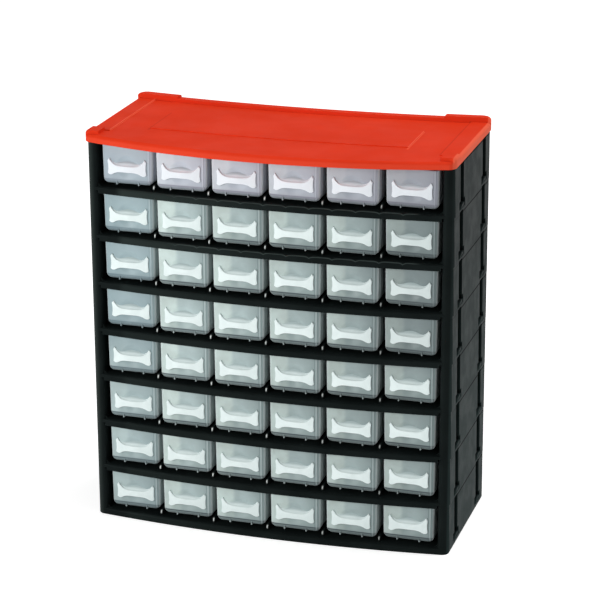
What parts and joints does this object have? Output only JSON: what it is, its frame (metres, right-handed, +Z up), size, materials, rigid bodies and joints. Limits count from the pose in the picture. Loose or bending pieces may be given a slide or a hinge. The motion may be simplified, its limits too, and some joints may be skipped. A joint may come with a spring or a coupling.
{
  "type": "parts bin cabinet",
  "caption": "Bench-top parts cabinet of stacked black tiers with a bowed front, rows of frosted pull-out drawers with bow-tie grips, and a red visor cover.",
  "frame": {"origin": "middle of the bounding box in width and depth, at the level of the table", "axes": "+Z up, +X to the right of a person who faces the drawers, +Y from the drawer fronts to the back wall"},
  "size_m": [0.383, 0.1959, 0.4205],
  "materials": {
    "black_plastic": "satin moulded polypropylene",
    "red_plastic": "satin moulded polypropylene",
    "frosted_plastic": "natural translucent polypropylene"
  },
  "bodies": {
    "cabinet": {"tier_1": "black_plastic", "tier_2": "black_plastic", "tier_3": "black_plastic", "tier_4": "black_plastic", "tier_5": "black_plastic", "tier_6": "black_plastic", "tier_7": "black_plastic", "tier_8": "black_plastic", "cover": "red_plastic"},
    "drawer_1_1": {"drawer_1_1": "frosted_plastic"},
    "drawer_1_2": {"drawer_1_2": "frosted_plastic"},
    "drawer_1_3": {"drawer_1_3": "frosted_plastic"},
    "drawer_1_4": {"drawer_1_4": "frosted_plastic"},
    "drawer_1_5": {"drawer_1_5": "frosted_plastic"},
    "drawer_1_6": {"drawer_1_6": "frosted_plastic"},
    "drawer_2_1": {"drawer_2_1": "frosted_plastic"},
    "drawer_2_2": {"drawer_2_2": "frosted_plastic"},
    "drawer_2_3": {"drawer_2_3": "frosted_plastic"},
    "drawer_2_4": {"drawer_2_4": "frosted_plastic"},
    "drawer_2_5": {"drawer_2_5": "frosted_plastic"},
    "drawer_2_6": {"drawer_2_6": "frosted_plastic"},
    "drawer_3_1": {"drawer_3_1": "frosted_plastic"},
    "drawer_3_2": {"drawer_3_2": "frosted_plastic"},
    "drawer_3_3": {"drawer_3_3": "frosted_plastic"},
    "drawer_3_4": {"drawer_3_4": "frosted_plastic"},
    "drawer_3_5": {"drawer_3_5": "frosted_plastic"},
    "drawer_3_6": {"drawer_3_6": "frosted_plastic"},
    "drawer_4_1": {"drawer_4_1": "frosted_plastic"},
    "drawer_4_2": {"drawer_4_2": "frosted_plastic"},
    "drawer_4_3": {"drawer_4_3": "frosted_plastic"},
    "drawer_4_4": {"drawer_4_4": "frosted_plastic"},
    "drawer_4_5": {"drawer_4_5": "frosted_plastic"},
    "drawer_4_6": {"drawer_4_6": "frosted_plastic"},
    "drawer_5_1": {"drawer_5_1": "frosted_plastic"},
    "drawer_5_2": {"drawer_5_2": "frosted_plastic"},
    "drawer_5_3": {"drawer_5_3": "frosted_plastic"},
    "drawer_5_4": {"drawer_5_4": "frosted_plastic"},
    "drawer_5_5": {"drawer_5_5": "frosted_plastic"},
    "drawer_5_6": {"drawer_5_6": "frosted_plastic"},
    "drawer_6_1": {"drawer_6_1": "frosted_plastic"},
    "drawer_6_2": {"drawer_6_2": "frosted_plastic"},
    "drawer_6_3": {"drawer_6_3": "frosted_plastic"},
    "drawer_6_4": {"drawer_6_4": "frosted_plastic"},
    "drawer_6_5": {"drawer_6_5": "frosted_plastic"},
    "drawer_6_6": {"drawer_6_6": "frosted_plastic"},
    "drawer_7_1": {"drawer_7_1": "frosted_plastic"},
    "drawer_7_2": {"drawer_7_2": "frosted_plastic"},
    "drawer_7_3": {"drawer_7_3": "frosted_plastic"},
    "drawer_7_4": {"drawer_7_4": "frosted_plastic"},
    "drawer_7_5": {"drawer_7_5": "frosted_plastic"},
    "drawer_7_6": {"drawer_7_6": "frosted_plastic"},
    "drawer_8_1": {"drawer_8_1": "frosted_plastic"},
    "drawer_8_2": {"drawer_8_2": "frosted_plastic"},
    "drawer_8_3": {"drawer_8_3": "frosted_plastic"},
    "drawer_8_4": {"drawer_8_4": "frosted_plastic"},
    "drawer_8_5": {"drawer_8_5": "frosted_plastic"},
    "drawer_8_6": {"drawer_8_6": "frosted_plastic"}
  },
  "joints": [
    {"name": "slide_1_1", "type": "slide", "parent": "cabinet", "child": "drawer_1_1", "axis": [0, -1, 0], "range_m": [0, 0.115]},
    {"name": "slide_1_2", "type": "slide", "parent": "cabinet", "child": "drawer_1_2", "axis": [0, -1, 0], "range_m": [0, 0.115]},
    {"name": "slide_1_3", "type": "slide", "parent": "cabinet", "child": "drawer_1_3", "axis": [0, -1, 0], "range_m": [0, 0.115]},
    {"name": "slide_1_4", "type": "slide", "parent": "cabinet", "child": "drawer_1_4", "axis": [0, -1, 0], "range_m": [0, 0.115]},
    {"name": "slide_1_5", "type": "slide", "parent": "cabinet", "child": "drawer_1_5", "axis": [0, -1, 0], "range_m": [0, 0.115]},
    {"name": "slide_1_6", "type": "slide", "parent": "cabinet", "child": "drawer_1_6", "axis": [0, -1, 0], "range_m": [0, 0.115]},
    {"name": "slide_2_1", "type": "slide", "parent": "cabinet", "child": "drawer_2_1", "axis": [0, -1, 0], "range_m": [0, 0.115]},
    {"name": "slide_2_2", "type": "slide", "parent": "cabinet", "child": "drawer_2_2", "axis": [0, -1, 0], "range_m": [0, 0.115]},
    {"name": "slide_2_3", "type": "slide", "parent": "cabinet", "child": "drawer_2_3", "axis": [0, -1, 0], "range_m": [0, 0.115]},
    {"name": "slide_2_4", "type": "slide", "parent": "cabinet", "child": "drawer_2_4", "axis": [0, -1, 0], "range_m": [0, 0.115]},
    {"name": "slide_2_5", "type": "slide", "parent": "cabinet", "child": "drawer_2_5", "axis": [0, -1, 0], "range_m": [0, 0.115]},
    {"name": "slide_2_6", "type": "slide", "parent": "cabinet", "child": "drawer_2_6", "axis": [0, -1, 0], "range_m": [0, 0.115]},
    {"name": "slide_3_1", "type": "slide", "parent": "cabinet", "child": "drawer_3_1", "axis": [0, -1, 0], "range_m": [0, 0.115]},
    {"name": "slide_3_2", "type": "slide", "parent": "cabinet", "child": "drawer_3_2", "axis": [0, -1, 0], "range_m": [0, 0.115]},
    {"name": "slide_3_3", "type": "slide", "parent": "cabinet", "child": "drawer_3_3", "axis": [0, -1, 0], "range_m": [0, 0.115]},
    {"name": "slide_3_4", "type": "slide", "parent": "cabinet", "child": "drawer_3_4", "axis": [0, -1, 0], "range_m": [0, 0.115]},
    {"name": "slide_3_5", "type": "slide", "parent": "cabinet", "child": "drawer_3_5", "axis": [0, -1, 0], "range_m": [0, 0.115]},
    {"name": "slide_3_6", "type": "slide", "parent": "cabinet", "child": "drawer_3_6", "axis": [0, -1, 0], "range_m": [0, 0.115]},
    {"name": "slide_4_1", "type": "slide", "parent": "cabinet", "child": "drawer_4_1", "axis": [0, -1, 0], "range_m": [0, 0.115]},
    {"name": "slide_4_2", "type": "slide", "parent": "cabinet", "child": "drawer_4_2", "axis": [0, -1, 0], "range_m": [0, 0.115]},
    {"name": "slide_4_3", "type": "slide", "parent": "cabinet", "child": "drawer_4_3", "axis": [0, -1, 0], "range_m": [0, 0.115]},
    {"name": "slide_4_4", "type": "slide", "parent": "cabinet", "child": "drawer_4_4", "axis": [0, -1, 0], "range_m": [0, 0.115]},
    {"name": "slide_4_5", "type": "slide", "parent": "cabinet", "child": "drawer_4_5", "axis": [0, -1, 0], "range_m": [0, 0.115]},
    {"name": "slide_4_6", "type": "slide", "parent": "cabinet", "child": "drawer_4_6", "axis": [0, -1, 0], "range_m": [0, 0.115]},
    {"name": "slide_5_1", "type": "slide", "parent": "cabinet", "child": "drawer_5_1", "axis": [0, -1, 0], "range_m": [0, 0.115]},
    {"name": "slide_5_2", "type": "slide", "parent": "cabinet", "child": "drawer_5_2", "axis": [0, -1, 0], "range_m": [0, 0.115]},
    {"name": "slide_5_3", "type": "slide", "parent": "cabinet", "child": "drawer_5_3", "axis": [0, -1, 0], "range_m": [0, 0.115]},
    {"name": "slide_5_4", "type": "slide", "parent": "cabinet", "child": "drawer_5_4", "axis": [0, -1, 0], "range_m": [0, 0.115]},
    {"name": "slide_5_5", "type": "slide", "parent": "cabinet", "child": "drawer_5_5", "axis": [0, -1, 0], "range_m": [0, 0.115]},
    {"name": "slide_5_6", "type": "slide", "parent": "cabinet", "child": "drawer_5_6", "axis": [0, -1, 0], "range_m": [0, 0.115]},
    {"name": "slide_6_1", "type": "slide", "parent": "cabinet", "child": "drawer_6_1", "axis": [0, -1, 0], "range_m": [0, 0.115]},
    {"name": "slide_6_2", "type": "slide", "parent": "cabinet", "child": "drawer_6_2", "axis": [0, -1, 0], "range_m": [0, 0.115]},
    {"name": "slide_6_3", "type": "slide", "parent": "cabinet", "child": "drawer_6_3", "axis": [0, -1, 0], "range_m": [0, 0.115]},
    {"name": "slide_6_4", "type": "slide", "parent": "cabinet", "child": "drawer_6_4", "axis": [0, -1, 0], "range_m": [0, 0.115]},
    {"name": "slide_6_5", "type": "slide", "parent": "cabinet", "child": "drawer_6_5", "axis": [0, -1, 0], "range_m": [0, 0.115]},
    {"name": "slide_6_6", "type": "slide", "parent": "cabinet", "child": "drawer_6_6", "axis": [0, -1, 0], "range_m": [0, 0.115]},
    {"name": "slide_7_1", "type": "slide", "parent": "cabinet", "child": "drawer_7_1", "axis": [0, -1, 0], "range_m": [0, 0.115]},
    {"name": "slide_7_2", "type": "slide", "parent": "cabinet", "child": "drawer_7_2", "axis": [0, -1, 0], "range_m": [0, 0.115]},
    {"name": "slide_7_3", "type": "slide", "parent": "cabinet", "child": "drawer_7_3", "axis": [0, -1, 0], "range_m": [0, 0.115]},
    {"name": "slide_7_4", "type": "slide", "parent": "cabinet", "child": "drawer_7_4", "axis": [0, -1, 0], "range_m": [0, 0.115]},
    {"name": "slide_7_5", "type": "slide", "parent": "cabinet", "child": "drawer_7_5", "axis": [0, -1, 0], "range_m": [0, 0.115]},
    {"name": "slide_7_6", "type": "slide", "parent": "cabinet", "child": "drawer_7_6", "axis": [0, -1, 0], "range_m": [0, 0.115]},
    {"name": "slide_8_1", "type": "slide", "parent": "cabinet", "child": "drawer_8_1", "axis": [0, -1, 0], "range_m": [0, 0.115]},
    {"name": "slide_8_2", "type": "slide", "parent": "cabinet", "child": "drawer_8_2", "axis": [0, -1, 0], "range_m": [0, 0.115]},
    {"name": "slide_8_3", "type": "slide", "parent": "cabinet", "child": "drawer_8_3", "axis": [0, -1, 0], "range_m": [0, 0.115]},
    {"name": "slide_8_4", "type": "slide", "parent": "cabinet", "child": "drawer_8_4", "axis": [0, -1, 0], "range_m": [0, 0.115]},
    {"name": "slide_8_5", "type": "slide", "parent": "cabinet", "child": "drawer_8_5", "axis": [0, -1, 0], "range_m": [0, 0.115]},
    {"name": "slide_8_6", "type": "slide", "parent": "cabinet", "child": "drawer_8_6", "axis": [0, -1, 0], "range_m": [0, 0.115]}
  ]
}
